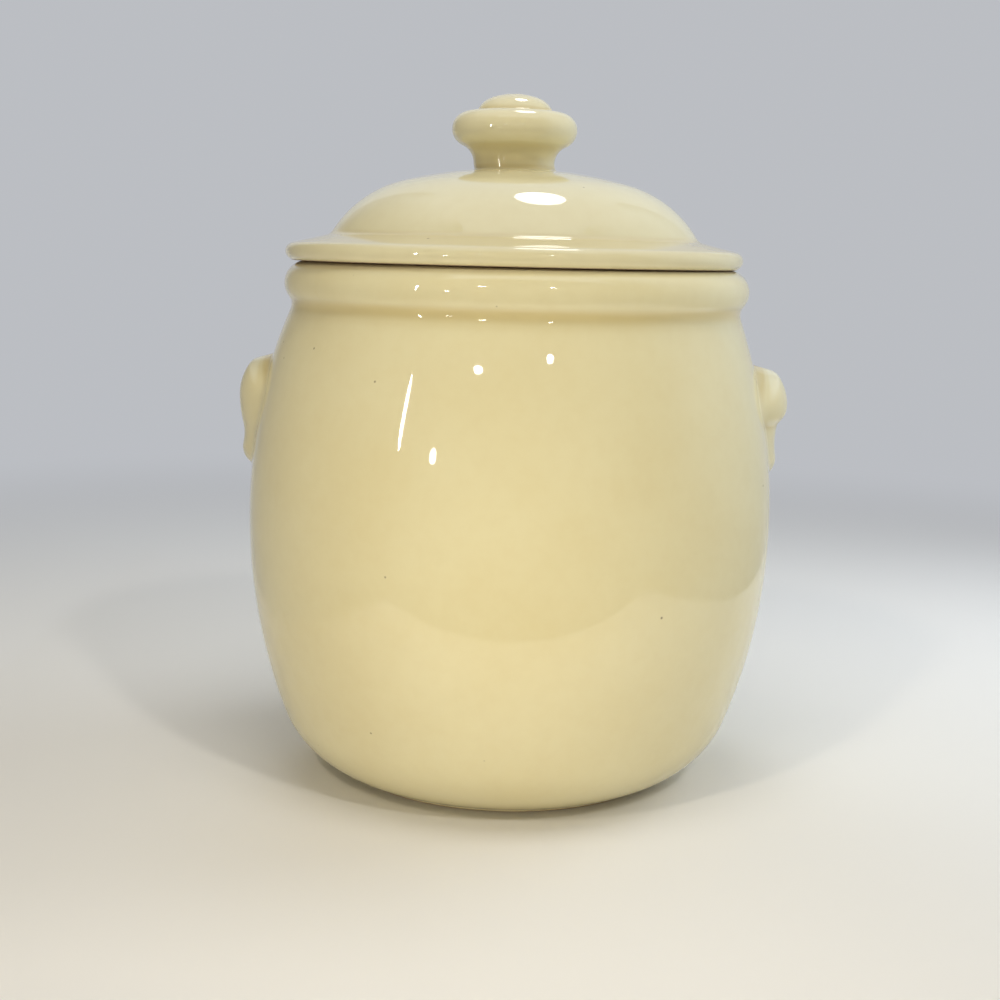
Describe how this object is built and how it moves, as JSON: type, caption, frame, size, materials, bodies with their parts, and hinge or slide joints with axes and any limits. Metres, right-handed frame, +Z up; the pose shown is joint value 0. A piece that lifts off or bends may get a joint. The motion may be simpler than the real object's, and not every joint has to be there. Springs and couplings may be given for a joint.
{
  "type": "biscuit jar",
  "caption": "Barrel-shaped lidded jar in glazed stoneware, with a rolled rim, side grip lugs and a domed lid that drops into the mouth and lifts off by its turned knob.",
  "frame": {"origin": "centre of the foot ring, on the surface the jar stands on", "axes": "+Z up along the jar's axis; +X through the right lug; -Y is the front"},
  "size_m": [0.1846, 0.175, 0.224],
  "materials": {
    "jar_glaze": "gloss",
    "lid_glaze": "gloss"
  },
  "bodies": {
    "jar": {"jar_body": "jar_glaze", "left_lug": "jar_glaze", "right_lug": "jar_glaze"},
    "lid_and_knob": {"lid": "lid_glaze", "knob": "lid_glaze"}
  },
  "joints": [
    {"name": "lid_lift", "type": "slide", "parent": "jar", "child": "lid_and_knob", "axis": [0, 0, 1], "range_m": [0, 0.16]}
  ]
}
